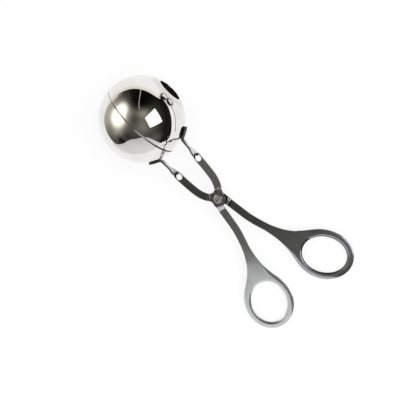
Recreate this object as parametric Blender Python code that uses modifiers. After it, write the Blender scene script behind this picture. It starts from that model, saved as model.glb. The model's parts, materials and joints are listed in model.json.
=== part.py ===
"""Meatball tongs: two cups that close to a ball, two stamped scissor arms and the rivet they turn on.

Blender 4.5, metres, +Z up. Each piece is modelled in the plane of the tongs: the pivot is at the origin with its
axis along Z, X runs from the ball (negative) to the finger rings (positive), and the tongs are closed. An empty
on the pivot then lays the tongs on the ground, where the ball and both finger rings touch it.

Both arms are one stamping, and both cups are one drawing. The top arm and its cup are the bottom ones turned
half a turn about X. The shapes below are written for the bottom arm, whose finger ring is on the +Y side and
whose cup is on the -Y side.
"""

from math import asin, atan2, cos, hypot, pi, radians, sin, sqrt

import bmesh
import bpy
from mathutils import Matrix, Vector
from mathutils.geometry import interpolate_bezier

MM = 0.001

# The ball and its cups
BALL_DIAMETER = 48 * MM
CUP_WALL = 0.6 * MM
SEAM_GAP = 0.3 * MM
DRAIN_HOLE_DIAMETER = 14.3 * MM
BUTTON_DIAMETER = 3.8 * MM
BUTTON_HEIGHT = 0.5 * MM
BUTTON_SPACING = 4.1 * MM
BUTTONS_FROM_POLE = radians(31)
BUTTONS_TOWARDS_ARM = radians(18)

# The sheet that the arms are stamped from, and the clearance between pieces that rest on each other
SHEET = 1.0 * MM
FIT_GAP = 0.3 * MM
SHEET_EDGE_ROUND = 0.2 * MM

# The finger ring: an oval hole in a band that is slightly thicker along its middle
RING_CENTRE = Vector((62.4 * MM, 21.0 * MM))
RING_HOLE_LENGTH = 24.8 * MM
RING_HOLE_WIDTH = 20.6 * MM
RING_BAND = 3.5 * MM
RING_TURN = radians(30)
RING_CROWN = 1.4 * MM
RING_EDGE = 0.7 * MM
RING_LIP = 0.9 * MM

# The web between the strip and the ring: where its flanks meet the ring, and how full they are
WEB_START = Vector((30.0 * MM, 8.45 * MM))
WEB_DIRECTION = radians(19)
WEB_FLARE = radians(4)
INNER_FLANK_MEETS_RING = radians(-80)
OUTER_FLANK_MEETS_RING = radians(111)
INNER_FLANK_FULLNESS = (20.6 * MM, 11.3 * MM)
OUTER_FLANK_FULLNESS = (21.2 * MM, 14.3 * MM)

# The strip from the web over the pivot to the cup: knots of its centre line and its widths
HANDLE_KNOTS = (Vector((20.0 * MM, 5.3 * MM)), Vector((10.0 * MM, 3.6 * MM)), Vector((4.2 * MM, 2.5 * MM)))
FRONT_KNOTS = (Vector((-4.6 * MM, -4.0 * MM)), Vector((-9.0 * MM, -6.0 * MM)), Vector((-15.0 * MM, -7.0 * MM)))
RELIEF_HOLE = Vector((-23.6 * MM, -7.65 * MM))
RELIEF_HOLE_DIAMETER = 3.3 * MM
STRIP_WIDTH = 4.2 * MM
NECK_WIDTH = 3.4 * MM
NECK_RUN = 3.5 * MM
BOSS_WIDTH = 8.8 * MM
BOSS_REACH = 5.0 * MM

# The joggle: each arm steps off the common plane at the pivot, so that one passes over the other
HANDLE_JOGGLE_START = 4.2 * MM
HANDLE_JOGGLE_RUN = 2.6 * MM
FRONT_JOGGLE_START = 5.0 * MM
FRONT_JOGGLE_RUN = 1.8 * MM
CREASE = 0.3 * MM

# The tab that wraps the cup
BALL_FROM_PIVOT = 36.6 * MM
TAB_STARTS_AT = radians(20)
TAB_LENGTH = 7.4 * MM
TAB_WIDTH = 6.5 * MM
TAB_BEND_RADIUS = 1.3 * MM

# The pivot rivet
RIVET_DIAMETER = 3.0 * MM
RIVET_HOLE_CLEARANCE = 0.1 * MM
RIVET_HEAD_DIAMETER = 5.0 * MM
RIVET_HEAD_HEIGHT = 0.75 * MM
RIVET_EYE_DIAMETER = 2.4 * MM
RIVET_EYE_DEPTH = 0.4 * MM

# How finely the curves are divided
FLANK_POINTS = 9
ARC_POINTS = 26
TAB_BEND_ROWS = 4
TAB_ROWS = 8
CUP_SEGMENTS = 48
CUP_RINGS = 12
RIVET_SEGMENTS = 28
CROWN_POINTS = 4

BALL_RADIUS = BALL_DIAMETER / 2
BALL_CENTRE = Vector((-BALL_FROM_PIVOT - BALL_RADIUS, 0.0))
BOSS_DROP = (SHEET + FIT_GAP) / 2
TAB_RADIUS = BALL_RADIUS + FIT_GAP + SHEET / 2
UP = Vector((0.0, 0.0, 1.0))


def smoothstep(value):
    value = min(max(value, 0.0), 1.0)
    return value * value * (3.0 - 2.0 * value)


def mix(a, b, share):
    return a + (b - a) * share


def flat(angle):
    return Vector((cos(angle), sin(angle)))


def clear_scene():
    for thing in list(bpy.data.objects):
        bpy.data.objects.remove(thing, do_unlink=True)


def collection(name):
    made = bpy.data.collections.new(name)
    bpy.context.scene.collection.children.link(made)
    return made


def steel(name, colour, roughness):
    material = bpy.data.materials.new(name)
    material.use_nodes = True
    shader = material.node_tree.nodes["Principled BSDF"]
    shader.inputs["Base Color"].default_value = (*colour, 1.0)
    shader.inputs["Metallic"].default_value = 1.0
    shader.inputs["Roughness"].default_value = roughness
    return material


def object_from(name, mesh, where):
    made = bpy.data.objects.new(name, mesh)
    where.objects.link(made)
    return made


def baked(thing):
    """The object's shape with its modifiers applied, as a plain mesh; the source and its cutters go."""
    cutters = [m.object for m in thing.modifiers if m.type == "BOOLEAN"]
    bpy.context.view_layer.update()
    evaluated = thing.evaluated_get(bpy.context.evaluated_depsgraph_get())
    mesh = bpy.data.meshes.new_from_object(evaluated)
    mesh.name = thing.name
    for used in (thing, *cutters):
        bpy.data.objects.remove(used, do_unlink=True)
    mesh.shade_smooth()
    mesh.set_sharp_from_angle(angle=radians(35))
    return mesh


def add_boolean(thing, cutter, operation):
    cutter.hide_render = True
    cutter.display_type = "WIRE"
    boolean = thing.modifiers.new(cutter.name, "BOOLEAN")
    boolean.operation = operation
    boolean.solver = "EXACT"
    boolean.object = cutter


def drill(name, centre, diameter, where):
    """A cutter along Z, long enough to pass through the joggled sheet."""
    mesh = bpy.data.meshes.new(name)
    bm = bmesh.new()
    bmesh.ops.create_cone(
        bm, cap_ends=True, segments=24, radius1=diameter / 2, radius2=diameter / 2, depth=8 * SHEET
    )
    bm.to_mesh(mesh)
    bm.free()
    cutter = object_from(name, mesh, where)
    cutter.location = (centre.x, centre.y, 0.0)
    return cutter


def turned(name, profile, steps, where):
    """A profile of (radius, height) points, turned about Z."""
    mesh = bpy.data.meshes.new(name)
    points = [(radius, 0.0, height) for radius, height in profile]
    mesh.from_pydata(points, [(i, i + 1) for i in range(len(points) - 1)], [])
    made = object_from(name, mesh, where)
    screw = made.modifiers.new("turn", "SCREW")
    screw.axis = "Z"
    screw.steps = steps
    screw.render_steps = steps
    screw.use_merge_vertices = True
    screw.merge_threshold = 1e-6
    screw.use_smooth_shade = True
    return made


# The arm's outline


def oval(length, width, angle):
    """The point of the ring's oval at a polar angle about its centre."""
    half_length, half_width = length / 2, width / 2
    turned_angle = angle - RING_TURN
    reach = half_length * half_width / hypot(half_width * cos(turned_angle), half_length * sin(turned_angle))
    return RING_CENTRE + reach * flat(angle)


def ring_hole(angle):
    return oval(RING_HOLE_LENGTH, RING_HOLE_WIDTH, angle)


def ring_outside(angle):
    return oval(RING_HOLE_LENGTH + 2 * RING_BAND, RING_HOLE_WIDTH + 2 * RING_BAND, angle)


def ring_tangent(angle):
    step = radians(0.5)
    return (ring_outside(angle + step) - ring_outside(angle - step)).normalized()


def flank(side, fullness, meets_ring, points):
    """One edge of the web, from the strip to the ring; side is -1 for the inner edge and 1 for the outer."""
    across = Vector((-sin(WEB_DIRECTION), cos(WEB_DIRECTION)))
    start = WEB_START + side * STRIP_WIDTH / 2 * across
    end = ring_outside(meets_ring)
    first_handle = start + fullness[0] * flat(WEB_DIRECTION + side * WEB_FLARE)
    last_handle = end + side * fullness[1] * ring_tangent(meets_ring)
    return interpolate_bezier(start, first_handle, last_handle, end, points)


def smooth_curve(knots, start_direction, end_direction, samples):
    """Points along a curve through the knots, with handles a third of each stretch long."""
    directions = [start_direction]
    for before, after in zip(knots, knots[2:]):
        directions.append((after - before).normalized())
    directions.append(end_direction)
    points = [knots[0]]
    for i in range(len(knots) - 1):
        handle = (knots[i + 1] - knots[i]).length / 3
        stretch = interpolate_bezier(
            knots[i], knots[i] + handle * directions[i],
            knots[i + 1] - handle * directions[i + 1], knots[i + 1], samples,
        )
        points.extend(stretch[1:])
    return points


class CentreLine:
    """The centre line of the strip, measured along it from the pivot, with the front negative."""

    def __init__(self):
        tab_start = BALL_CENTRE + TAB_RADIUS * flat(-TAB_STARTS_AT)
        approach = (tab_start - RELIEF_HOLE).normalized()
        knots = [WEB_START, *HANDLE_KNOTS, Vector((0.0, 0.0)), *FRONT_KNOTS, RELIEF_HOLE, tab_start]
        self.points = [p.to_3d() for p in smooth_curve(knots, -flat(WEB_DIRECTION), approach, 24)]
        lengths = [0.0]
        for before, after in zip(self.points, self.points[1:]):
            lengths.append(lengths[-1] + (after - before).length)
        pivot = min(range(len(self.points)), key=lambda i: self.points[i].length)
        self.along = [lengths[pivot] - length for length in lengths]
        hole = min(range(len(self.points)), key=lambda i: (self.points[i].to_2d() - RELIEF_HOLE).length)
        self.web = self.along[0]
        self.hole = self.along[hole]
        self.tab = self.along[-1]
        self.approach = approach

    def at(self, along):
        """The point and the direction towards the cup at a distance along the line."""
        i = 0
        while i < len(self.along) - 2 and self.along[i + 1] > along:
            i += 1
        step = self.points[i + 1] - self.points[i]
        share = (self.along[i] - along) / (self.along[i] - self.along[i + 1])
        before = self.points[max(i - 1, 0)]
        after = self.points[min(i + 2, len(self.points) - 1)]
        return self.points[i] + share * step, (after - before).normalized()

    def half_width(self, along):
        """Half the strip's width: it tapers out to a six-sided boss at the pivot and narrows past the hole."""
        past_hole = self.hole - RELIEF_HOLE_DIAMETER / 2 - along
        width = mix(STRIP_WIDTH, NECK_WIDTH, smoothstep(past_hole / NECK_RUN))
        return mix(width, BOSS_WIDTH, max(0.0, 1.0 - abs(along) / BOSS_REACH)) / 2

    def height(self, along):
        """The strip's height over the common plane, which it leaves on a straight ramp on each side."""
        if along > 0.0:
            ramp = (along - HANDLE_JOGGLE_START) / HANDLE_JOGGLE_RUN
        else:
            ramp = (-along - FRONT_JOGGLE_START) / FRONT_JOGGLE_RUN
        return -BOSS_DROP * (1.0 - min(max(ramp, 0.0), 1.0))

    def twist(self, along):
        """How far the strip is turned about its own length: flat up to the hole, on edge at the tab."""
        start = self.hole - RELIEF_HOLE_DIAMETER / 4
        end = self.tab + 2 * TAB_BEND_RADIUS
        return pi / 2 * smoothstep((start - along) / (start - end))


def spaced(start, end, most):
    """Distances from start to end, no more than a step apart, without the end itself."""
    steps = max(1, round(abs(end - start) / most))
    return [mix(start, end, i / steps) for i in range(steps)]


def station_distances(line):
    """Where the strip's rows of points are: close together in its bends and on both sides of each crease."""
    handle_top = HANDLE_JOGGLE_START + HANDLE_JOGGLE_RUN
    front_top = -FRONT_JOGGLE_START - FRONT_JOGGLE_RUN
    cup_end = line.tab + TAB_BEND_RADIUS
    distances = spaced(line.web, handle_top + CREASE, 2.6 * MM)
    distances += spaced(handle_top + CREASE, handle_top - CREASE, CREASE)
    distances += spaced(handle_top - CREASE, HANDLE_JOGGLE_START + CREASE, 1.4 * MM)
    distances += spaced(HANDLE_JOGGLE_START + CREASE, HANDLE_JOGGLE_START - CREASE, CREASE)
    distances += spaced(HANDLE_JOGGLE_START - CREASE, 0.0, 1.3 * MM)
    distances += spaced(0.0, -FRONT_JOGGLE_START + CREASE, 1.3 * MM)
    distances += spaced(-FRONT_JOGGLE_START + CREASE, -FRONT_JOGGLE_START - CREASE, CREASE)
    distances += spaced(-FRONT_JOGGLE_START - CREASE, front_top + CREASE, 1.3 * MM)
    distances += spaced(front_top + CREASE, front_top - CREASE, CREASE)
    distances += spaced(front_top - CREASE, line.hole + RELIEF_HOLE_DIAMETER, 2.4 * MM)
    distances += spaced(line.hole + RELIEF_HOLE_DIAMETER, cup_end, 1.1 * MM)
    return distances


def strip_row(line, along, columns):
    """The points across the strip at one place: joggled off the plane near the pivot, twisted near the cup."""
    centre, direction = line.at(along)
    sideways = Vector((direction.y, -direction.x, 0.0))
    twist = line.twist(along)
    across = cos(twist) * sideways - sin(twist) * UP
    half = line.half_width(along)
    middle = centre + line.height(along) * UP
    return [middle + half * share * across for share in columns]


def tab_half_width(along):
    """Half the tab's width: it widens from the strip and ends in a round."""
    widen = smoothstep(along / (TAB_LENGTH / 3))
    half = mix(NECK_WIDTH, TAB_WIDTH, widen) / 2
    round_start = TAB_LENGTH - TAB_WIDTH * 0.45
    past = max(0.0, (along - round_start) / (TAB_LENGTH - round_start))
    return half * sqrt(max(1.0 - past * past, 0.0))


def tab_row(along, columns):
    """The points across the tab, which lies on a sphere round the ball."""
    angle = -TAB_STARTS_AT - along / TAB_RADIUS
    half = tab_half_width(along)
    row = []
    for share in columns:
        rise = -half * share / TAB_RADIUS
        outward = Vector((cos(rise) * cos(angle), cos(rise) * sin(angle), sin(rise)))
        row.append(BALL_CENTRE.to_3d() + TAB_RADIUS * outward)
    return row


def tab_rows(line, columns):
    """The bend from the strip into the tab, and the tab."""
    bend_reach = TAB_BEND_RADIUS * 0.8
    before = strip_row(line, line.tab + bend_reach, columns)
    after = tab_row(bend_reach, columns)
    corner = tab_row(0.0, columns)
    rows = []
    for i in range(TAB_BEND_ROWS + 1):
        share = i / TAB_BEND_ROWS
        row = []
        for first, middle, last in zip(before, corner, after):
            row.append((1 - share) ** 2 * first + 2 * share * (1 - share) * middle + share ** 2 * last)
        rows.append(row)
    end = TAB_LENGTH * 0.985
    for i in range(1, TAB_ROWS + 1):
        share = sin(pi / 2 * i / TAB_ROWS)
        rows.append(tab_row(mix(bend_reach, end, share), columns))
    return rows


def ring_rows(columns, first_row):
    """Loops round the finger ring from its hole outwards; the last holds the strip's first row."""
    inner = flank(-1, INNER_FLANK_FULLNESS, INNER_FLANK_MEETS_RING, FLANK_POINTS)
    outer = flank(1, OUTER_FLANK_FULLNESS, OUTER_FLANK_MEETS_RING, FLANK_POINTS)
    arc = []
    for i in range(1, ARC_POINTS):
        arc.append(ring_outside(mix(INNER_FLANK_MEETS_RING, OUTER_FLANK_MEETS_RING, i / ARC_POINTS)))
    edge = [p.to_3d() for p in inner[1:]] + [p.to_3d() for p in arc]
    edge += [p.to_3d() for p in reversed(outer[1:])]
    edge += list(reversed(first_row))
    to_strip = WEB_START - RING_CENTRE
    behind = atan2(to_strip.y, to_strip.x)
    loops = [[] for _ in range(7)]
    weights = [[] for _ in range(7)]
    for i, outside in enumerate(edge):
        on_strip = i >= len(edge) - len(columns)
        offset = outside.to_2d() - RING_CENTRE
        polar = (atan2(offset.y, offset.x) - behind) % (2 * pi)
        if on_strip and polar < pi:
            polar += 2 * pi
        even = 2 * pi * (i + 1) / len(edge)
        hole = ring_hole(behind + mix(polar, even, 0.35)).to_3d()
        reach = (outside - hole).length
        way = (outside - hole) / reach
        crown = smoothstep((3.0 * RING_BAND - reach) / (2.0 * RING_BAND))
        middle = mix(SHEET, RING_CROWN, crown)
        rim = mix(SHEET, RING_EDGE, crown)
        lip = min(RING_LIP, reach / 3)
        places = (0.0, lip / 2, lip, min(reach / 2, 2 * lip), reach - lip, reach - lip / 2, reach)
        thick = (RING_EDGE, mix(RING_EDGE, middle, 0.75), middle, middle, middle, mix(rim, middle, 0.75), rim)
        for loop, weight, place, value in zip(loops, weights, places, thick):
            loop.append(hole + place * way)
            weight.append(value / RING_CROWN)
    return loops, weights


def stamping(name, where):
    """The arm's sheet as one surface in the middle of its thickness, thickened, rounded and drilled."""
    columns = (-1.0, -0.5, 0.0, 0.5, 1.0)
    line = CentreLine()
    rows = [strip_row(line, along, columns) for along in station_distances(line)]
    loops, weights = ring_rows(columns, rows[0])
    rows += tab_rows(line, columns)

    bm = bmesh.new()
    layer = bm.verts.layers.deform.verify()
    sheet_weight = SHEET / RING_CROWN

    def vertex(point, weight):
        made = bm.verts.new(point)
        made[layer][0] = weight
        return made

    rings = []
    for loop, weight in zip(loops, weights):
        rings.append([vertex(point, value) for point, value in zip(loop, weight)])
    count = len(rings[0])
    for inside, outside in zip(rings, rings[1:]):
        for i in range(count):
            following = (i + 1) % count
            bm.faces.new((inside[i], outside[i], outside[following], inside[following]))
    previous = list(reversed(rings[-1][count - len(columns):]))
    for row in rows[1:]:
        current = [vertex(point, sheet_weight) for point in row]
        for i in range(len(columns) - 1):
            bm.faces.new((previous[i], previous[i + 1], current[i + 1], current[i]))
        previous = current
    bmesh.ops.recalc_face_normals(bm, faces=bm.faces)
    mesh = bpy.data.meshes.new(name)
    bm.to_mesh(mesh)
    bm.free()

    arm = object_from(name, mesh, where)
    arm.vertex_groups.new(name="thickness")
    thicken = arm.modifiers.new("sheet thickness", "SOLIDIFY")
    thicken.thickness = RING_CROWN
    thicken.offset = 0.0
    thicken.vertex_group = "thickness"
    thicken.thickness_vertex_group = 0.0
    rounding = arm.modifiers.new("tumbled edges", "BEVEL")
    rounding.width = SHEET_EDGE_ROUND
    rounding.segments = 1
    rounding.limit_method = "ANGLE"
    rounding.angle_limit = radians(50)
    rivet_hole = RIVET_DIAMETER + 2 * RIVET_HOLE_CLEARANCE
    add_boolean(arm, drill("rivet_hole", Vector((0.0, 0.0)), rivet_hole, where), "DIFFERENCE")
    add_boolean(arm, drill("relief_hole", RELIEF_HOLE, RELIEF_HOLE_DIAMETER, where), "DIFFERENCE")
    return baked(arm)


# The cups and the rivet


def button(name, side, where):
    """A flat round button on the outside of the cup, near the drain hole."""
    mesh = bpy.data.meshes.new(name)
    bm = bmesh.new()
    bmesh.ops.create_uvsphere(bm, u_segments=16, v_segments=8, radius=1.0)
    size = Matrix.Diagonal((BUTTON_DIAMETER / 2, BUTTON_DIAMETER / 2, BUTTON_HEIGHT, 1.0))
    bmesh.ops.transform(bm, matrix=size, verts=bm.verts)
    bm.to_mesh(mesh)
    bm.free()
    made = object_from(name, mesh, where)
    circle = BALL_RADIUS * sin(BUTTONS_FROM_POLE)
    turn = BUTTONS_TOWARDS_ARM + side * asin(BUTTON_SPACING / 2 / circle)
    tilt = Matrix.Rotation(BUTTONS_FROM_POLE, 4, "Y")
    swing = Matrix.Rotation(turn, 4, "Z")
    made.matrix_world = swing @ tilt @ Matrix.Translation((0.0, 0.0, BALL_RADIUS))
    return made


def cup_shape(where):
    """One cup with its pole up at +Z, its rim just above the ground plane and the arm at +Y."""
    pole_angle = asin(DRAIN_HOLE_DIAMETER / 2 / BALL_RADIUS)
    rim_angle = pi / 2 - asin(SEAM_GAP / 2 / BALL_RADIUS)
    profile = []
    for i in range(CUP_RINGS + 1):
        angle = mix(pole_angle, rim_angle, i / CUP_RINGS)
        profile.append((BALL_RADIUS * sin(angle), BALL_RADIUS * cos(angle)))
    cup = turned("cup_shape", profile, CUP_SEGMENTS, where)
    wall = cup.modifiers.new("wall", "SOLIDIFY")
    wall.thickness = CUP_WALL
    wall.offset = -1.0
    for number, side in enumerate((-1, 1)):
        add_boolean(cup, button(f"button_{number}", side, where), "UNION")
    return baked(cup)


def rivet_shape(where):
    """The rivet, turned about the pivot axis, with a rolled eye in its upper head."""
    grip = BOSS_DROP + SHEET / 2 + FIT_GAP
    head = RIVET_HEAD_DIAMETER / 2
    shank = RIVET_DIAMETER / 2
    eye = RIVET_EYE_DIAMETER / 2
    brim = RIVET_HEAD_HEIGHT / 4
    crown = RIVET_HEAD_HEIGHT - brim
    crest = mix(eye, head, 0.35)
    eye_floor = grip + RIVET_HEAD_HEIGHT - RIVET_EYE_DEPTH
    profile = [(0.0, eye_floor), (0.7 * eye, eye_floor)]
    for i in range(CROWN_POINTS + 1):
        turn = pi / 2 * i / CROWN_POINTS
        profile.append((crest + (head - crest) * sin(turn), grip + brim + crown * cos(turn)))
    profile += [(head, grip), (shank, grip), (shank, -grip), (head, -grip)]
    for i in range(CROWN_POINTS + 1):
        turn = pi / 2 * (1 - i / CROWN_POINTS)
        profile.append((head * sin(turn), -grip - brim - crown * cos(turn)))
    return baked(turned("rivet_shape", profile, RIVET_SEGMENTS, where))


# The whole tongs


def lowest(things, tilt):
    """The lowest height of the things' vertices, with the tongs tilted about Y at the pivot."""
    turn = Matrix.Rotation(tilt, 4, "Y")
    return min((turn @ thing.matrix_basis @ v.co).z for thing in things for v in thing.data.vertices)


def lay_on_ground(axis, arms, cups):
    """Tilts the tongs until cups and rings reach equally low, then puts the ground at Z = 0."""
    level, steep = 0.0, radians(60)
    for _ in range(60):
        tilt = (level + steep) / 2
        if lowest(cups, tilt) < lowest(arms, tilt):
            level = tilt
        else:
            steep = tilt
    turn = Matrix.Rotation(tilt, 4, "Y")
    corners = [turn @ thing.matrix_basis @ v.co for thing in (*arms, *cups) for v in thing.data.vertices]
    middle = (min(c.x for c in corners) + max(c.x for c in corners)) / 2
    axis.rotation_euler = (0.0, tilt, 0.0)
    axis.location = (-middle, 0.0, -min(c.z for c in corners))


def piece(name, mesh, material, where, axis):
    made = object_from(name, mesh, where)
    made.data.materials.clear()
    made.data.materials.append(material)
    made.parent = axis
    return made


def build():
    clear_scene()
    tongs = collection("meatball_tongs")
    shaping = collection("shaping")
    satin = steel("satin_steel", (0.26, 0.26, 0.26), 0.34)
    mirror = steel("mirror_steel", (0.80, 0.79, 0.78), 0.06)
    headed = steel("rivet_steel", (0.42, 0.42, 0.42), 0.28)

    axis = bpy.data.objects.new("pivot_axis", None)
    tongs.objects.link(axis)
    arm_mesh = stamping("arm_shape", shaping)
    cup_mesh = cup_shape(shaping)
    half_turn = Matrix.Rotation(pi, 4, "X")
    pole_to_side = Matrix.Rotation(pi / 2, 4, "X") @ Matrix.Rotation(-pi / 2, 4, "Z")
    to_ball = Matrix.Translation(BALL_CENTRE.to_3d())

    bottom_arm = piece("bottom_arm", arm_mesh, satin, tongs, axis)
    top_arm = piece("top_arm", arm_mesh, satin, tongs, axis)
    top_arm.matrix_basis = half_turn
    bottom_cup = piece("bottom_arm_cup", cup_mesh, mirror, tongs, axis)
    bottom_cup.matrix_basis = to_ball @ pole_to_side
    top_cup = piece("top_arm_cup", cup_mesh, mirror, tongs, axis)
    top_cup.matrix_basis = half_turn @ to_ball @ pole_to_side
    piece("pivot_rivet", rivet_shape(shaping), headed, tongs, axis)
    lay_on_ground(axis, (bottom_arm, top_arm), (bottom_cup, top_cup))


build()
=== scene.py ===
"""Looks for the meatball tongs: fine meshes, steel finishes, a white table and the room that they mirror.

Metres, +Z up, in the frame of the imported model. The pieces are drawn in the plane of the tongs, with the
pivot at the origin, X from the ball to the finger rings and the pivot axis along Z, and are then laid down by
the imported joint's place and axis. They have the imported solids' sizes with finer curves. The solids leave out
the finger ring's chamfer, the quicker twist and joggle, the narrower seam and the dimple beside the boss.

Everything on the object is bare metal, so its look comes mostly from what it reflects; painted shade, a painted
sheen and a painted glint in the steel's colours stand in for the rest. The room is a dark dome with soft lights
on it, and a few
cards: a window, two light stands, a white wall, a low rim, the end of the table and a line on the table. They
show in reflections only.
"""

import json
from math import asin, atan2, cos, exp, hypot, pi, radians, sin, sqrt

import bmesh
import bpy
from mathutils import Matrix, Vector
from mathutils.geometry import interpolate_bezier

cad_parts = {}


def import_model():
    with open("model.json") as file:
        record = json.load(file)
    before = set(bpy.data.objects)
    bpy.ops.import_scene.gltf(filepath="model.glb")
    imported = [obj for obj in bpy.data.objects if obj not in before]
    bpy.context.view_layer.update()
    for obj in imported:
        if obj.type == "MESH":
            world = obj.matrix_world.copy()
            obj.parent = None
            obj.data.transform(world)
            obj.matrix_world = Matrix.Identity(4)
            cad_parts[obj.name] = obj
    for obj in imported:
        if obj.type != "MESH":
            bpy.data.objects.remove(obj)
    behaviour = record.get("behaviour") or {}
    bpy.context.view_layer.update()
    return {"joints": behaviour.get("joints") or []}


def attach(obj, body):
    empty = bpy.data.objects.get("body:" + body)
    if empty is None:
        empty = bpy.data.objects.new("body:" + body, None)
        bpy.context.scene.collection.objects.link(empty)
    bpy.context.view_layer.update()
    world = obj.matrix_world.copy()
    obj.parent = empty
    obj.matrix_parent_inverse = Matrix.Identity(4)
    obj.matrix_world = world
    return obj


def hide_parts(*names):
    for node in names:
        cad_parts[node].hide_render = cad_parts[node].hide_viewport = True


MM = 0.001
IMAGE_WIDTH = 416


def mm(*values):
    """A point given in millimetres."""
    return Vector([value * MM for value in values])


# The ball and its cups
BALL_DIAMETER = 48 * MM
CUP_WALL = 0.6 * MM
SEAM_GAP = 0.22 * MM
DRAIN_HOLE_DIAMETER = 14.3 * MM
BUTTON_DIAMETER = 3.8 * MM
BUTTON_HEIGHT = 0.5 * MM
BUTTON_SPACING = 4.1 * MM
BUTTONS_FROM_POLE = radians(31)
BUTTONS_TOWARDS_ARM = radians(18)

# The sheet that the arms are stamped from
SHEET = 1.0 * MM
FIT_GAP = 0.3 * MM
SHEET_EDGE_ROUND = 0.1 * MM

# The finger ring. Its round takes at most a share of its band, and its crown fades out by a number of bands.
RING_CENTRE = mm(62.4, 21.0)
RING_HOLE_LENGTH = 24.8 * MM
RING_HOLE_WIDTH = 20.6 * MM
RING_BAND = 3.5 * MM
RING_TURN = radians(30)
RING_CROWN = 1.4 * MM
RING_EDGE = 0.7 * MM
RING_CHAMFER = 1.3 * MM
RING_CHAMFER_DROP = 0.8 * MM
CUT_EDGE = 0.5 * MM
CUT_REACH = 1.1 * CUT_EDGE
RING_OUTER_ROUND = 2.1 * MM
RING_ROUND_SHARE = 0.6
CROWN_FADES_BY = 3.0

# The web between the strip and the ring
WEB_START = mm(30.0, 8.45)
WEB_DIRECTION = radians(19)
WEB_FLARE = radians(4)
INNER_FLANK_MEETS_RING = radians(-80)
OUTER_FLANK_MEETS_RING = radians(111)
INNER_FLANK_FULLNESS = (20.6 * MM, 11.3 * MM)
OUTER_FLANK_FULLNESS = (21.2 * MM, 14.3 * MM)

# The strip from the web over the pivot to the cup
HANDLE_KNOTS = (mm(20.0, 5.3), mm(10.0, 3.6), mm(4.2, 2.5))
FRONT_KNOTS = (mm(-4.6, -4.0), mm(-9.0, -6.0), mm(-15.0, -7.0))
RELIEF_HOLE = mm(-23.6, -7.65)
RELIEF_HOLE_DIAMETER = 3.3 * MM
STRIP_WIDTH = 4.2 * MM
NECK_WIDTH = 3.4 * MM
NECK_RUN = 3.5 * MM
BOSS_WIDTH = 8.8 * MM
BOSS_REACH = 5.0 * MM

# The joggle on each side of the boss: how far from the pivot it starts, and how far it runs
HANDLE_JOGGLE = (4.2 * MM, 2.6 * MM)
FRONT_JOGGLE = (5.0 * MM, 1.3 * MM)
CREASE = 0.25 * MM

# The neck's two twists, each as shares: where on the neck it starts, how far it runs, how much of the turn
NECK_TWISTS = ((0.0, 0.22, 0.62), (0.3, 0.35, 0.38))

# The small dimple that stands up from the mating face beside the boss
DIMPLE = mm(4.45, 4.2)
DIMPLE_LENGTH = 2.4 * MM
DIMPLE_WIDTH = 1.8 * MM
DIMPLE_HEIGHT = 0.6 * MM
DIMPLE_TURN = radians(5)
DIMPLE_CREST = 0.9 * MM

# The tab that wraps the cup
BALL_FROM_PIVOT = 36.6 * MM
TAB_STARTS_AT = radians(20)
TAB_LENGTH = 7.4 * MM
TAB_WIDTH = 6.5 * MM
TAB_WIDENS_OVER = TAB_LENGTH / 3
TAB_ROUND = 0.45 * TAB_WIDTH
TAB_LAST_ROW = 0.985 * TAB_LENGTH
TAB_BEND_RADIUS = 1.3 * MM
TAB_BEND_REACH = 0.8 * TAB_BEND_RADIUS

# The pivot rivet. Its head's brim is straight, its crest lies between eye and brim, its eye's floor is flat.
RIVET_DIAMETER = 3.0 * MM
RIVET_HOLE_CLEARANCE = 0.1 * MM
RIVET_HEAD_DIAMETER = 5.0 * MM
RIVET_HEAD_HEIGHT = 0.75 * MM
RIVET_BRIM = RIVET_HEAD_HEIGHT / 4
RIVET_CREST_SHARE = 0.35
RIVET_EYE_DIAMETER = 2.4 * MM
RIVET_EYE_DEPTH = 0.4 * MM
RIVET_EYE_FLOOR = 0.55 * RIVET_EYE_DIAMETER

# Steel colours. Pairs are the ends between which the sheet's cloudiness or draw lines vary.
CLEAN_STEEL = ((0.755, 0.762, 0.785), (0.815, 0.822, 0.845))
# Painted reflection: a bluer, lighter sheen on the outer face near the pivot
PAINTED_SHEEN_STEEL = ((0.85, 0.875, 0.94), (0.89, 0.915, 0.98))
DULL_STEEL = ((0.50, 0.515, 0.57), (0.63, 0.65, 0.71))
DIRTY_STEEL = ((0.28, 0.285, 0.30), (0.42, 0.425, 0.45))
GRAIN = (0.38, 0.385, 0.39)
HANDLED_EDGE = (0.66, 0.67, 0.69)
GREASE = (0.25, 0.25, 0.24)
# Painted shade round the pivot on the mating face, between the arms
PAINTED_PIVOT_SHADE = (0.09, 0.09, 0.09)
# Painted highlight: a bright glint on the dimple's crest
PAINTED_DIMPLE_GLINT = (0.85, 0.85, 0.86)
# Painted shade on the neck near the weld
PAINTED_NECK_SHADE = (0.52, 0.52, 0.51)
# Heat tint and painted shade on the tab at the weld
HEAT_TINT_AND_SHADE = (0.045, 0.042, 0.038)
# Painted shade on the cut wall of the ring's hole
PAINTED_HOLE_WALL_SHADE = (0.10, 0.10, 0.10)
POLISHED_CUP = ((0.87, 0.855, 0.835), (0.77, 0.75, 0.73))
GREY_ROUND_HOLE = (0.60, 0.575, 0.54)
GREY_ROUND_BUTTONS = (0.56, 0.56, 0.50)
# Painted shade in the crease round each button
PAINTED_BUTTON_CREASE_SHADE = (0.06, 0.055, 0.05)
# Painted shade along the cups' rims near the arm
PAINTED_SEAM_SHADE = (0.09, 0.085, 0.08)
# Painted shade: the inside of the cup is darker
CUP_INSIDE_SHADE = (0.40, 0.395, 0.385)
TURNED_RIVET = ((0.58, 0.58, 0.57), (0.47, 0.47, 0.46))

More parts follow.
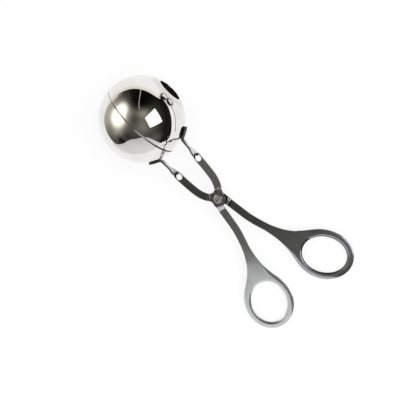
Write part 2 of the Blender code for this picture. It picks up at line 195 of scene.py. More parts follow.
# Where the painted shade round the pivot lies on the mating faces, how far the arms' grease reaches, and where
# dirt and the painted sheen fade and end
PIVOT_SHADE_CENTRE = mm(2.6, 1.4, 0.0)
PIVOT_SHADE_RADIUS = 4.0 * MM
GREASE_RADIUS = 5.6 * MM
DIRT_AND_SHEEN_FADES = 24 * MM
DIRT_AND_SHEEN_ENDS = 46 * MM

# A greyer band round the drain hole, as distances from the cup's pole: where it starts, is full, fades and ends
GREY_ROUND_HOLE_BAND = (7.6 * MM, 8.8 * MM, 9.5 * MM, 12.5 * MM)

# Painted shade in the crease round each button, as shares of its diameter: where it starts, is full, fades and
# ends
BUTTON_CREASE_SHADE_BAND = (0.30, 0.44, 0.52, 0.66)

# Painted shade along the cups' rims, up to a distance from the arm
SEAM_SHADE_WIDTH = 0.4 * MM
SEAM_SHADE_REACH = 21 * MM

# The finishes' noises: the size of their features, their detail and the stretch of the drawn out ones
SHEET_CLOUDS = (9 * MM, 3.0)
SHEET_SPECKS = (0.35 * MM, 3.0)
DRAW_LINES = (0.5 * MM, 2.0, (0.04, 1.0, 1.0))
CUP_SMUDGES = (11 * MM, 4.0)
CUP_WAVES = (16 * MM, 0.0)
HAIRLINES = (0.5 * MM, 2.0, (1.0, 0.08, 1.0))
RIVET_CLOUDS = (1.6 * MM, 2.0)
RIVET_SPECKS = (0.3 * MM, 3.0)

# How high their bumps are
SHEET_CLOUD_HEIGHT = 0.05 * MM
SHEET_SPECK_HEIGHT = 0.0007 * MM
DRAW_LINE_HEIGHT = 0.0015 * MM
CUP_WAVE_HEIGHT = 0.08 * MM
HAIRLINE_HEIGHT = 0.0004 * MM
RIVET_SPECK_HEIGHT = 0.004 * MM

# Roughness, and what specks, handling, heat, hairlines and the cup's inside add to it or take off
SHEET_ROUGHNESS = (0.15, 0.19)
SPECK_ROUGHNESS = (-0.02, 0.02)
EDGE_ROUGHNESS = -0.04
HEAT_ROUGHNESS = 0.35
CUP_ROUGHNESS = (0.015, 0.05)
HAIRLINE_ROUGHNESS = 0.012
INSIDE_ROUGHNESS = 0.3
RIVET_ROUGHNESS = (0.32, 0.42)

# How strongly the fainter marks show, out of 1, and how far up a face looks as it becomes a mating face
SPECKS_SHOW = 0.3
EDGES_SHOW = 0.3
GREASE_SHOWS = 0.45
NECK_SHADE_SHOWS = 0.6
GREY_ROUND_HOLE_SHOWS = 0.6
GREY_ROUND_BUTTONS_SHOWS = 0.45
MATING_FACE = (-0.3, 0.3)

# How finely the curves are divided
LINE_POINTS = 60
FLANK_POINTS = 28
ARC_POINTS = 90
ROUND_POINTS = 7
CREST_POINTS = 3
STRIP_STEP = 0.7 * MM
STRIP_COLUMNS = 5
TAB_BEND_ROWS = 10
TAB_ROWS = 20
CUP_SEGMENTS = 192
CUP_RINGS = 64
LIP_POINTS = 5
RIVET_SEGMENTS = 72
CROWN_POINTS = 12
DRILL_SEGMENTS = 64
LENS_SEGMENTS = 56
DOME_SEGMENTS = 144
TABLE_SEGMENTS = 96
MERGE_DISTANCE = 0.001 * MM

# Points across the chamfer, as shares of its width, and the stretch of an S curve that its section follows
CHAMFER_POINTS = (0.3, 0.7, 0.88)
CHAMFER_CURVE = (0.15, 0.85)

# How evenly the points of the ring's hole are spread, and the row beside a cup's lip, as a share of the lip
HOLE_EVENNESS = 0.35
LIP_ROW = 0.25

# Angles between faces from which an edge is rounded, shaded sharp, or counts as polished by handling
ROUNDED_ANGLE = radians(50)
SHARP_ANGLE = radians(38)
POLISHED_ANGLE = radians(16)

BALL_RADIUS = BALL_DIAMETER / 2
BALL_CENTRE = Vector((-BALL_FROM_PIVOT - BALL_RADIUS, 0.0))
BOSS_DROP = (SHEET + FIT_GAP) / 2
TAB_RADIUS = BALL_RADIUS + FIT_GAP + SHEET / 2
UP = Vector((0.0, 0.0, 1.0))

# The camera, in the plane of the tongs: its place, its turn and its focal length in pixels of the photograph
CAMERA_PLACE = mm(-13.7, 94.4, 336.4)
CAMERA_TURN = Vector((0.29562, -0.08244, -0.79967))
CAMERA_FOCAL = 630.5
CAMERA_CLIP = 0.01

# The room that the steel mirrors. Directions are (azimuth, elevation) in degrees, as seen from the ball.
DOME_RADIUS = 1.5
DOME_FOOT = -0.08 * DOME_RADIUS
NEAR_DOME = 0.9 * DOME_RADIUS
WINDOW = ((75.7, 28.4), (41.4, 13.6), (16.8, 41.3), (50.2, 59.2))
WINDOW_STRENGTH = 1.4
LIGHT_STANDS = (
    (((134.8, 8.6), (129.2, 24.5), (124.1, 39.1), (116.5, 52.3), (102.9, 60.6)), (0.60, 0.60, 0.57)),
    (((159.6, 9.9), (157.1, 23.3), (154.1, 36.1), (149.1, 49.7)), (0.075, 0.07, 0.06)),
)
LIGHT_STAND_WIDTH = 1.3
WALL_DISTANCE = 0.21
WALL_FOOT = -6.5
WALL_TOP = (
    (-97, 1), (-90, 7), (-86, 10), (-82, 15), (-75, 23), (-67, 33), (-58, 39), (-45, 41),
    (-30, 41), (-18, 38), (-11, 33), (-7, 22), (-5, 0),
)
WALL_COLOURS = (
    (0.80, 0.80, 0.80), (0.78, 0.78, 0.78), (0.75, 0.75, 0.745), (0.68, 0.68, 0.67), (0.58, 0.58, 0.57),
)
RIM_TOP = (
    (92, 2), (100, 7), (110, 9), (130, 9.5), (150, 9.5), (170, 9.5), (184, 8.5), (200, 7.5), (215, 4),
    (225, 1),
)
RIM_FOOT = -2
RIM_COLOURS = ((0.95, 0.92, 0.88), (0.84, 0.79, 0.73))

# Soft lights on the dome: direction, width in degrees, sharpness of the edge, colour. Shades dim by a share.
ROOM_LIGHTS = (
    ((-154, 53), 24, 2, (0.98, 0.93, 0.81)),
    ((-173, 53), 15, 4, (0.87, 0.85, 0.76)),
    ((-136, 48.5), 21, 4, (1.20, 1.16, 1.05)),
    ((-141, 4), 31, 2, (0.45, 0.43, 0.37)),
    ((-173, 2), 11, 2, (1.08, 1.03, 0.95)),
    ((34, 79), 61, 4, (0.088, 0.083, 0.072)),
    ((9, 58), 18, 2, (0.116, 0.115, 0.106)),
    ((0, 12), 13, 2, (0.085, 0.085, 0.08)),
    ((81, 58.5), 14, 2, (0.36, 0.33, 0.25)),
    ((-91, 33), 18, 2, (0.86, 0.84, 0.74)),
)
ROOM_SHADES = (
    ((119, 36), 33.5, 4, 1.0),
    ((-83, 22.6), 23.4, 2, 1.0),
    ((-72, 42), 17.6, 2, 0.84),
    ((-64, 87.5), 16.4, 2, 0.48),
)
ROOM_DARK = (0.0028, 0.0026, 0.0022)

# The white table; its end and a line on it, in millimetres; and how much of it shows as plain white
TABLE_END = (
    (60, 7), (45, 14), (41, 25), (42, 38), (48, 60), (50, 85), (49, 108), (37, 149), (13, 200), (-23, 306),
    (-92, 452), (-150, 600), (-150, 1700), (1700, 1700), (1700, -200), (154, -20), (122, -3),
)
TABLE_LINE = ((-19, 108), (-17, 85), (-7, 66), (1, 51), (5, 29))
TABLE_LINE_WIDTH = 6.0
TABLE_LINE_COLOUR = (0.30, 0.275, 0.265)
TABLE_END_COLOUR = (0.015, 0.012, 0.010)
TABLE_CARD_HEIGHT = -0.02 * MM
TABLE_HEIGHT = -0.05 * MM
TABLE_COLOUR = (0.97, 0.97, 0.97)
TABLE_WHITE_SHARE = 0.75

# The light on the table: the world's strength and one soft lamp
WORLD_LIGHT = 0.8
LAMP_PLACE = (0.5, 0.6, 1.1)
LAMP_SIZE = 0.9
LAMP_POWER = 8.0


def smoothstep(value):
    value = min(max(value, 0.0), 1.0)
    return value * value * (3.0 - 2.0 * value)


def mix(a, b, share):
    return a + (b - a) * share


def flat(angle):
    return Vector((cos(angle), sin(angle)))


def object_from(name, data):
    """A new object in the scene from a mesh, a lamp or a camera."""
    made = bpy.data.objects.new(name, data)
    bpy.context.scene.collection.objects.link(made)
    return made


def mesh_from(name, bm):
    """A new mesh from an editable one, which is freed."""
    mesh = bpy.data.meshes.new(name)
    bm.to_mesh(mesh)
    bm.free()
    return mesh


def baked(thing):
    """The object's shape with its modifiers applied, as a plain mesh; the source and its cutters go."""
    cutters = [m.object for m in thing.modifiers if m.type == "BOOLEAN"]
    bpy.context.view_layer.update()
    evaluated = thing.evaluated_get(bpy.context.evaluated_depsgraph_get())
    mesh = bpy.data.meshes.new_from_object(evaluated)
    mesh.name = thing.name
    for used in (thing, *cutters):
        bpy.data.objects.remove(used, do_unlink=True)
    mesh.shade_smooth()
    mesh.set_sharp_from_angle(angle=SHARP_ANGLE)
    return mesh


def add_boolean(thing, cutter, operation):
    boolean = thing.modifiers.new(cutter.name, "BOOLEAN")
    boolean.operation = operation
    boolean.solver = "EXACT"
    boolean.object = cutter


def drill(name, centre, diameter):
    """A cutter along Z, long enough to pass through the joggled sheet."""
    bm = bmesh.new()
    radius = diameter / 2
    bmesh.ops.create_cone(
        bm, cap_ends=True, segments=DRILL_SEGMENTS, radius1=radius, radius2=radius, depth=8 * SHEET
    )
    cutter = object_from(name, mesh_from(name, bm))
    cutter.location.xy = centre
    return cutter


def lens(name, length, width, height, place):
    """A flattened ball, half of which stands out of the sheet that it is joined to."""
    bm = bmesh.new()
    bmesh.ops.create_uvsphere(bm, u_segments=LENS_SEGMENTS, v_segments=LENS_SEGMENTS // 2, radius=1.0)
    bmesh.ops.transform(bm, matrix=Matrix.Diagonal((length / 2, width / 2, height, 1.0)), verts=bm.verts)
    made = object_from(name, mesh_from(name, bm))
    made.matrix_world = place
    return made


def turned(name, profile, steps):
    """A profile of (radius, height) points, turned about Z."""
    mesh = bpy.data.meshes.new(name)
    points = [(radius, 0.0, height) for radius, height in profile]
    mesh.from_pydata(points, [(i, i + 1) for i in range(len(points) - 1)], [])
    made = object_from(name, mesh)
    screw = made.modifiers.new("turn", "SCREW")
    screw.axis = "Z"
    screw.steps = steps
    screw.render_steps = steps
    screw.use_merge_vertices = True
    screw.merge_threshold = MERGE_DISTANCE
    return made


# The arm's outline


def oval(length, width, angle):
    """The point of the ring's oval at a polar angle about its centre."""
    half_length, half_width = length / 2, width / 2
    turned_angle = angle - RING_TURN
    reach = half_length * half_width / hypot(half_width * cos(turned_angle), half_length * sin(turned_angle))
    return RING_CENTRE + reach * flat(angle)


def ring_hole(angle):
    return oval(RING_HOLE_LENGTH, RING_HOLE_WIDTH, angle)


def ring_outside(angle):
    return oval(RING_HOLE_LENGTH + 2 * RING_BAND, RING_HOLE_WIDTH + 2 * RING_BAND, angle)


def ring_tangent(angle):
    step = radians(0.5)
    return (ring_outside(angle + step) - ring_outside(angle - step)).normalized()


def flank(side, fullness, meets_ring):
    """One edge of the web, from the strip to the ring; side is -1 for the inner edge and 1 for the outer."""
    across = Vector((-sin(WEB_DIRECTION), cos(WEB_DIRECTION)))
    start = WEB_START + side * STRIP_WIDTH / 2 * across
    end = ring_outside(meets_ring)
    first_handle = start + fullness[0] * flat(WEB_DIRECTION + side * WEB_FLARE)
    last_handle = end + side * fullness[1] * ring_tangent(meets_ring)
    return interpolate_bezier(start, first_handle, last_handle, end, FLANK_POINTS)


def smooth_curve(knots, start_direction, end_direction):
    """Points along a curve through the knots, with handles a third of each stretch long."""
    directions = [start_direction]
    for before, after in zip(knots, knots[2:]):
        directions.append((after - before).normalized())
    directions.append(end_direction)
    points = [knots[0]]
    for i in range(len(knots) - 1):
        handle = (knots[i + 1] - knots[i]).length / 3
        stretch = interpolate_bezier(
            knots[i], knots[i] + handle * directions[i],
            knots[i + 1] - handle * directions[i + 1], knots[i + 1], LINE_POINTS,
        )
        points.extend(stretch[1:])
    return points


def strip_height(along):
    """The strip's height over the common plane, which it leaves on a ramp on each side of the boss."""
    start, run = HANDLE_JOGGLE if along > 0.0 else FRONT_JOGGLE
    ramp = (abs(along) - start) / run
    return -BOSS_DROP * (1.0 - min(max(ramp, 0.0), 1.0))


class CentreLine:
    """The centre line of the strip, measured along it from the pivot, with the front negative."""

    def __init__(self):
        tab_start = BALL_CENTRE + TAB_RADIUS * flat(-TAB_STARTS_AT)
        approach = (tab_start - RELIEF_HOLE).normalized()
        knots = [WEB_START, *HANDLE_KNOTS, Vector((0.0, 0.0)), *FRONT_KNOTS, RELIEF_HOLE, tab_start]
        curve = smooth_curve(knots, -flat(WEB_DIRECTION), approach)
        self.points = [p.to_3d() for p in curve]
        lengths = [0.0]
        for before, after in zip(self.points, self.points[1:]):
            lengths.append(lengths[-1] + (after - before).length)
        pivot = min(range(len(curve)), key=lambda i: curve[i].length)
        hole = min(range(len(curve)), key=lambda i: (curve[i] - RELIEF_HOLE).length)
        self.along = [lengths[pivot] - length for length in lengths]
        self.web = self.along[0]
        self.hole = self.along[hole]
        self.tab = self.along[-1]

    def at(self, along):
        """The point and the direction towards the cup at a distance along the line."""
        i = 0
        while i < len(self.along) - 2 and self.along[i + 1] > along:
            i += 1
        step = self.points[i + 1] - self.points[i]
        share = (self.along[i] - along) / (self.along[i] - self.along[i + 1])
        before = self.points[max(i - 1, 0)]
        after = self.points[min(i + 2, len(self.points) - 1)]
        return self.points[i] + share * step, (after - before).normalized()

    def half_width(self, along):
        """Half the strip's width, which tapers out to a six-sided boss and narrows past the hole."""
        past_hole = self.hole - RELIEF_HOLE_DIAMETER / 2 - along
        width = mix(STRIP_WIDTH, NECK_WIDTH, smoothstep(past_hole / NECK_RUN))
        return mix(width, BOSS_WIDTH, max(0.0, 1.0 - abs(along) / BOSS_REACH)) / 2

    def twist(self, along):
        """How far the strip is turned about its own length: flat up to the hole, on edge at the tab."""
        start = self.hole - RELIEF_HOLE_DIAMETER / 4
        end = self.tab + 2 * TAB_BEND_RADIUS
        share = (start - along) / (start - end)
        return pi / 2 * sum(turn * smoothstep((share - first) / run) for first, run, turn in NECK_TWISTS)


def spaced(start, end, step):
    """Distances from start to end, about a step apart, without the end itself."""
    steps = max(1, round(abs(end - start) / step))
    return [mix(start, end, i / steps) for i in range(steps)]


def station_distances(line):
    """Where the strip's rows of points are, with rows on both sides of each crease and boss corner."""
    creases = (sum(HANDLE_JOGGLE), HANDLE_JOGGLE[0], 0.0, -FRONT_JOGGLE[0], -sum(FRONT_JOGGLE))
    distances = []
    start = line.web
    for crease in creases:
        distances += spaced(start, crease + CREASE, STRIP_STEP)
        distances += spaced(crease + CREASE, crease - CREASE, CREASE)
        start = crease - CREASE
    return distances + spaced(start, line.tab + TAB_BEND_RADIUS, STRIP_STEP)


def strip_row(line, along, columns):
    """The points across the strip at one place: joggled near the pivot, twisted near the cup."""
    centre, direction = line.at(along)
    sideways = Vector((direction.y, -direction.x, 0.0))
    twist = line.twist(along)
    across = cos(twist) * sideways - sin(twist) * UP
    half = line.half_width(along)
    middle = centre + strip_height(along) * UP
    return [middle + half * share * across for share in columns]


def tab_half_width(along):
    """Half the tab's width: it widens from the strip and ends in a round."""
    half = mix(NECK_WIDTH, TAB_WIDTH, smoothstep(along / TAB_WIDENS_OVER)) / 2
    past = max(0.0, (along - TAB_LENGTH + TAB_ROUND) / TAB_ROUND)
    return half * sqrt(max(1.0 - past * past, 0.0))


def tab_row(along, columns):
    """The points across the tab, which lies on a sphere round the ball."""
    angle = -TAB_STARTS_AT - along / TAB_RADIUS
    half = tab_half_width(along)
    row = []
    for share in columns:
        rise = -half * share / TAB_RADIUS
        outward = Vector((cos(rise) * cos(angle), cos(rise) * sin(angle), sin(rise)))
        row.append(BALL_CENTRE.to_3d() + TAB_RADIUS * outward)
    return row


def tab_rows(line, columns):
    """The bend from the strip into the tab, and the tab."""
    before = strip_row(line, line.tab + TAB_BEND_REACH, columns)
    after = tab_row(TAB_BEND_REACH, columns)
    corner = tab_row(0.0, columns)
    rows = []
    for i in range(TAB_BEND_ROWS + 1):
        share = i / TAB_BEND_ROWS
        row = []
        for first, middle, last in zip(before, corner, after):
            row.append((1 - share) ** 2 * first + 2 * share * (1 - share) * middle + share ** 2 * last)
        rows.append(row)
    for i in range(1, TAB_ROWS + 1):
        share = sin(pi / 2 * i / TAB_ROWS)
        rows.append(tab_row(mix(TAB_BEND_REACH, TAB_LAST_ROW, share), columns))
    return rows


def band_profile(reach):
    """(place, fullness) pairs across the ring's band from its hole outwards: chamfer, crest, broad round."""
    outer = reach - min(RING_OUTER_ROUND, RING_ROUND_SHARE * reach)
    curve_start, curve_end = CHAMFER_CURVE
    profile = []
    for place in (0.0, CUT_EDGE, *(mix(CUT_EDGE, RING_CHAMFER, share) for share in CHAMFER_POINTS)):
        on_curve = mix(curve_start, curve_end, place / RING_CHAMFER)
        profile.append((place, smoothstep(on_curve) / smoothstep(curve_end)))
    for i in range(CREST_POINTS):
        profile.append((mix(RING_CHAMFER, outer, i / CREST_POINTS), 1.0))
    for i in range(ROUND_POINTS + 1):
        share = i / ROUND_POINTS
        profile.append((mix(outer, reach, share), 1 - share ** 2))
    return profile


def ring_rows(columns, first_row):
    """Loops round the finger ring from its hole outwards; the last holds the strip's first row."""
    start, end = INNER_FLANK_MEETS_RING, OUTER_FLANK_MEETS_RING
    inner = flank(-1, INNER_FLANK_FULLNESS, start)
    outer = flank(1, OUTER_FLANK_FULLNESS, end)
    arc = [ring_outside(mix(start, end, i / ARC_POINTS)) for i in range(1, ARC_POINTS)]
    edge = [p.to_3d() for p in (*inner[1:], *arc, *reversed(outer[1:]))]
    edge += reversed(first_row)
    to_strip = WEB_START - RING_CENTRE
    behind = atan2(to_strip.y, to_strip.x)
    count = len(band_profile(RING_BAND))
    loops = [[] for _ in range(count)]
    weights = [[] for _ in range(count)]
    for i, outside in enumerate(edge):
        on_strip = i >= len(edge) - len(columns)
        offset = outside.to_2d() - RING_CENTRE
        polar = (atan2(offset.y, offset.x) - behind) % (2 * pi)
        if on_strip and polar < pi:
            polar += 2 * pi
        even = 2 * pi * (i + 1) / len(edge)
        hole = ring_hole(behind + mix(polar, even, HOLE_EVENNESS)).to_3d()
        reach = (outside - hole).length
        way = (outside - hole) / reach
        crown = smoothstep((CROWN_FADES_BY * RING_BAND - reach) / ((CROWN_FADES_BY - 1.0) * RING_BAND))
        middle = mix(SHEET, RING_CROWN, crown)
        outer_edge = mix(SHEET, RING_EDGE, crown)
        for number, (place, fullness) in enumerate(band_profile(reach)):
            edge_value = middle - RING_CHAMFER_DROP if place < RING_CHAMFER else outer_edge
            loops[number].append(hole + place * way)
            weights[number].append(mix(edge_value, middle, fullness) / RING_CROWN)
    return loops, weights


def dimple_place():
    """Where the dimple's middle is: on the sheet's mating face, part of the way down the ramp to the boss."""
    surface = strip_height(DIMPLE.length) + SHEET / 2
    return Matrix.Translation((DIMPLE.x, DIMPLE.y, surface)) @ Matrix.Rotation(DIMPLE_TURN, 4, "Z")


def stamping(name):
    """The arm's sheet as one surface in the middle of its thickness, thickened, rounded and drilled."""
    columns = [i / STRIP_COLUMNS for i in range(-STRIP_COLUMNS, STRIP_COLUMNS + 1)]
    line = CentreLine()
    rows = [strip_row(line, along, columns) for along in station_distances(line)]
    loops, weights = ring_rows(columns, rows[0])
    rows += tab_rows(line, columns)

    bm = bmesh.new()
    layer = bm.verts.layers.deform.verify()
    sheet_weight = SHEET / RING_CROWN

    def vertex(point, weight):
        made = bm.verts.new(point)
        made[layer][0] = weight
        return made

    rings = []
    for loop, weight in zip(loops, weights):
        rings.append([vertex(point, value) for point, value in zip(loop, weight)])
    count = len(rings[0])
    for inside, outside in zip(rings, rings[1:]):
        for i in range(count):
            following = (i + 1) % count
            bm.faces.new((inside[i], outside[i], outside[following], inside[following]))
    previous = list(reversed(rings[-1][count - len(columns):]))
    for row in rows[1:]:
        current = [vertex(point, sheet_weight) for point in row]
        for i in range(len(columns) - 1):
            bm.faces.new((previous[i], previous[i + 1], current[i + 1], current[i]))
        previous = current
    bmesh.ops.recalc_face_normals(bm, faces=bm.faces)

    arm = object_from(name, mesh_from(name, bm))
    arm.vertex_groups.new(name="thickness")
    thicken = arm.modifiers.new("sheet thickness", "SOLIDIFY")
    thicken.thickness = RING_CROWN
    thicken.offset = 0.0
    thicken.vertex_group = "thickness"
    rounding = arm.modifiers.new("tumbled edges", "BEVEL")
    rounding.width = SHEET_EDGE_ROUND
    rounding.segments = 2
    rounding.limit_method = "ANGLE"
    rounding.angle_limit = ROUNDED_ANGLE
    dimple = lens("dimple", DIMPLE_LENGTH, DIMPLE_WIDTH, DIMPLE_HEIGHT, dimple_place())
    add_boolean(arm, dimple, "UNION")
    rivet_hole = RIVET_DIAMETER + 2 * RIVET_HOLE_CLEARANCE
    add_boolean(arm, drill("rivet_hole", Vector((0.0, 0.0)), rivet_hole), "DIFFERENCE")
    add_boolean(arm, drill("relief_hole", RELIEF_HOLE, RELIEF_HOLE_DIAMETER), "DIFFERENCE")
    return baked(arm)


def in_ring_hole(point):
    """Whether a point is on the cut wall of the ring's hole or on the sharp rim beside it."""
    offset = point.to_2d() - RING_CENTRE
    hole = ring_hole(atan2(offset.y, offset.x)) - RING_CENTRE
    return offset.length < hole.length + CUT_REACH


def mark_edges(mesh):
    """Point attributes: "edge" on rounded edges, which handling polished, and "cut" in the ring's hole."""
    bm = bmesh.new()
    bm.from_mesh(mesh)
    values = [0.0] * len(bm.verts)
    for edge in bm.edges:
        if len(edge.link_faces) == 2 and edge.calc_face_angle() > POLISHED_ANGLE:
            for v in edge.verts:
                values[v.index] = 1.0
    bm.free()
    cut = [1.0 if in_ring_hole(v.co) else 0.0 for v in mesh.vertices]
    for name, marks in (("edge", values), ("cut", cut)):
        layer = mesh.attributes.new(name, "FLOAT", "POINT")
        layer.data.foreach_set("value", marks)


# The cups and the rivet


def button_place(side):
    """Where a flat button sits on the cup, near the drain hole: the cup's pole is along Z, the arm at +Y."""
    circle = BALL_RADIUS * sin(BUTTONS_FROM_POLE)
    turn = BUTTONS_TOWARDS_ARM + side * asin(BUTTON_SPACING / 2 / circle)
    tilt = Matrix.Rotation(BUTTONS_FROM_POLE, 4, "Y")
    return Matrix.Rotation(turn, 4, "Z") @ tilt @ Matrix.Translation((0.0, 0.0, BALL_RADIUS))


def cup_profile():
    """The wall's outline as (radius, height) points: outside, rounded rim, inside, rounded drain hole."""
    pole_angle = asin(DRAIN_HOLE_DIAMETER / 2 / BALL_RADIUS)
    rim_angle = pi / 2 - asin(SEAM_GAP / 2 / BALL_RADIUS)
    middle = BALL_RADIUS - CUP_WALL / 2
    lip = CUP_WALL / 2 / middle
    start, end = pole_angle + lip, rim_angle - lip
    angles = [start, start + LIP_ROW * lip]
    angles += [mix(start, end, i / CUP_RINGS) for i in range(1, CUP_RINGS)]
    angles += [end - LIP_ROW * lip, end]
    profile = [(BALL_RADIUS, angle) for angle in angles]
    turns = [pi * i / (2 * LIP_POINTS) for i in range(1, 2 * LIP_POINTS)]
    profile += [(middle + CUP_WALL / 2 * cos(turn), end + lip * sin(turn)) for turn in turns]
    profile += [(BALL_RADIUS - CUP_WALL, angle) for angle in reversed(angles)]
    profile += [(middle - CUP_WALL / 2 * cos(turn), start - lip * sin(turn)) for turn in turns]
    profile.append(profile[0])
    return [(radius * sin(angle), radius * cos(angle)) for radius, angle in profile]


def cup_shape():
    """One cup with its pole up at +Z, its rim just above the ground plane and the arm at +Y."""
    cup = turned("cup_shape", cup_profile(), CUP_SEGMENTS)
    weld = cup.modifiers.new("close", "WELD")
    weld.merge_threshold = MERGE_DISTANCE
    for number, side in enumerate((-1, 1)):
        place = button_place(side)
        button = lens(f"button_{number}", BUTTON_DIAMETER, BUTTON_DIAMETER, BUTTON_HEIGHT, place)
        add_boolean(cup, button, "UNION")
    return baked(cup)


def rivet_shape():
    """The rivet, turned about the pivot axis, with a rolled eye in its upper head."""
    grip = BOSS_DROP + SHEET / 2 + FIT_GAP
    head = RIVET_HEAD_DIAMETER / 2
    shank = RIVET_DIAMETER / 2
    crown = RIVET_HEAD_HEIGHT - RIVET_BRIM
    crest = mix(RIVET_EYE_DIAMETER / 2, head, RIVET_CREST_SHARE)
    top = grip + RIVET_HEAD_HEIGHT
    floor = top - RIVET_EYE_DEPTH
    floor_radius = RIVET_EYE_FLOOR / 2
    turns = [pi / 2 * i / CROWN_POINTS for i in range(1, CROWN_POINTS + 1)]
    profile = [(0.0, floor), (floor_radius, floor)]
    profile += [(mix(floor_radius, crest, 1 - cos(turn)), mix(floor, top, sin(turn))) for turn in turns]
    profile += [(mix(crest, head, sin(turn)), grip + RIVET_BRIM + crown * cos(turn)) for turn in turns]
    profile += [(head, grip), (shank, grip), (shank, -grip), (head, -grip)]
    for i in range(CROWN_POINTS + 1):
        turn = pi / 2 * (1 - i / CROWN_POINTS)
        profile.append((head * sin(turn), -grip - RIVET_BRIM - crown * cos(turn)))
    return baked(turned("rivet_shape", profile, RIVET_SEGMENTS))


# Steel finishes


def math_node(tree, operation, first, second):
    """What a math node makes of two values, each a number or another node's output."""
    node = tree.nodes.new("ShaderNodeMath")
    node.operation = operation
    for socket, value in zip(node.inputs, (first, second)):
        if isinstance(value, float):
            socket.default_value = value
        else:
            tree.links.new(value, socket)
    return node.outputs["Value"]


class Finish:
    """A metal material and short calls for the nodes that it needs. Its colour and roughness are averages."""

    def __init__(self, name, colour, roughness):
        self.material = bpy.data.materials.new(name)
        self.material.use_nodes = True
        self.tree = self.material.node_tree
        self.nodes, self.links = self.tree.nodes, self.tree.links
        self.shader = self.nodes["Principled BSDF"]
        self.shader.inputs["Base Color"].default_value = (*colour, 1.0)
        self.shader.inputs["Metallic"].default_value = 1.0
        self.shader.inputs["Roughness"].default_value = roughness
        self.place = self.nodes.new("ShaderNodeTexCoord").outputs["Object"]

    def noise(self, grain, detail, stretch=None):
        """Noise whose features are about a grain long, or a stretched grain along each axis."""
        where = self.place
        if stretch:
            mapping = self.nodes.new("ShaderNodeMapping")
            mapping.inputs["Scale"].default_value = stretch
            self.links.new(where, mapping.inputs["Vector"])
            where = mapping.outputs["Vector"]
        texture = self.nodes.new("ShaderNodeTexNoise")
        texture.inputs["Scale"].default_value = 1.0 / grain
        texture.inputs["Detail"].default_value = detail
        self.links.new(where, texture.inputs["Vector"])
        return texture.outputs["Fac"]

    def ranged(self, value, low, high, start=0.3, end=0.7):
        """The value from start to end, spread from low to high."""
        spread = self.nodes.new("ShaderNodeMapRange")
        spread.inputs["From Min"].default_value = start
        spread.inputs["From Max"].default_value = end
        spread.inputs["To Min"].default_value = low
        spread.inputs["To Max"].default_value = high
        self.links.new(value, spread.inputs["Value"])
        return spread.outputs["Result"]

    def band(self, value, start, full, fading, end):
        """1 where the value lies between full and fading, falling to 0 at start and end."""
        rise = self.ranged(value, 0.0, 1.0, start, full)
        return self.times(rise, self.ranged(value, 1.0, 0.0, fading, end))

    def added(self, first, second):
        return math_node(self.tree, "ADD", first, second)

    def times(self, first, second):
        return math_node(self.tree, "MULTIPLY", first, second)

    def blended(self, share, first, second):
        """A colour between two, each a tuple or another node's output."""
        blend = self.nodes.new("ShaderNodeMix")
        blend.data_type = "RGBA"
        self.links.new(share, blend.inputs["Factor"])
        for socket, colour in (("A_Color", first), ("B_Color", second)):
            target = next(s for s in blend.inputs if s.identifier == socket)
            if isinstance(colour, tuple):
                target.default_value = (*colour, 1.0)
            else:
                self.links.new(colour, target)
        return next(s for s in blend.outputs if s.identifier == "Result_Color")

    def distance_to(self, point):
        """The distance from a point in the piece's own frame."""
        node = self.nodes.new("ShaderNodeVectorMath")
        node.operation = "DISTANCE"
        node.inputs[1].default_value = point
        self.links.new(self.place, node.inputs[0])
        return node.outputs["Value"]

    def part(self, vector, axis):
        """One axis of a vector."""
        split = self.nodes.new("ShaderNodeSeparateXYZ")
        self.links.new(vector, split.inputs["Vector"])
        return split.outputs[axis]

    def facing(self, axis):
        """How far the surface faces along an axis of the piece's own frame, from -1 to 1."""
        return self.part(self.nodes.new("ShaderNodeTexCoord").outputs["Normal"], axis)

    def attribute(self, name):
        node = self.nodes.new("ShaderNodeAttribute")
        node.attribute_name = name
        return node.outputs["Fac"]

    def bump(self, *layers):
        """Bump from (height, distance) layers, each on top of the one before."""
        normal = None
        for height, distance in layers:
            node = self.nodes.new("ShaderNodeBump")
            node.inputs["Distance"].default_value = distance
            self.links.new(height, node.inputs["Height"])
            if normal:
                self.links.new(normal, node.inputs["Normal"])
            normal = node.outputs["Normal"]
        self.links.new(normal, self.shader.inputs["Normal"])

    def colour(self, value):
        self.links.new(value, self.shader.inputs["Base Color"])

    def roughness(self, value):
        self.links.new(value, self.shader.inputs["Roughness"])


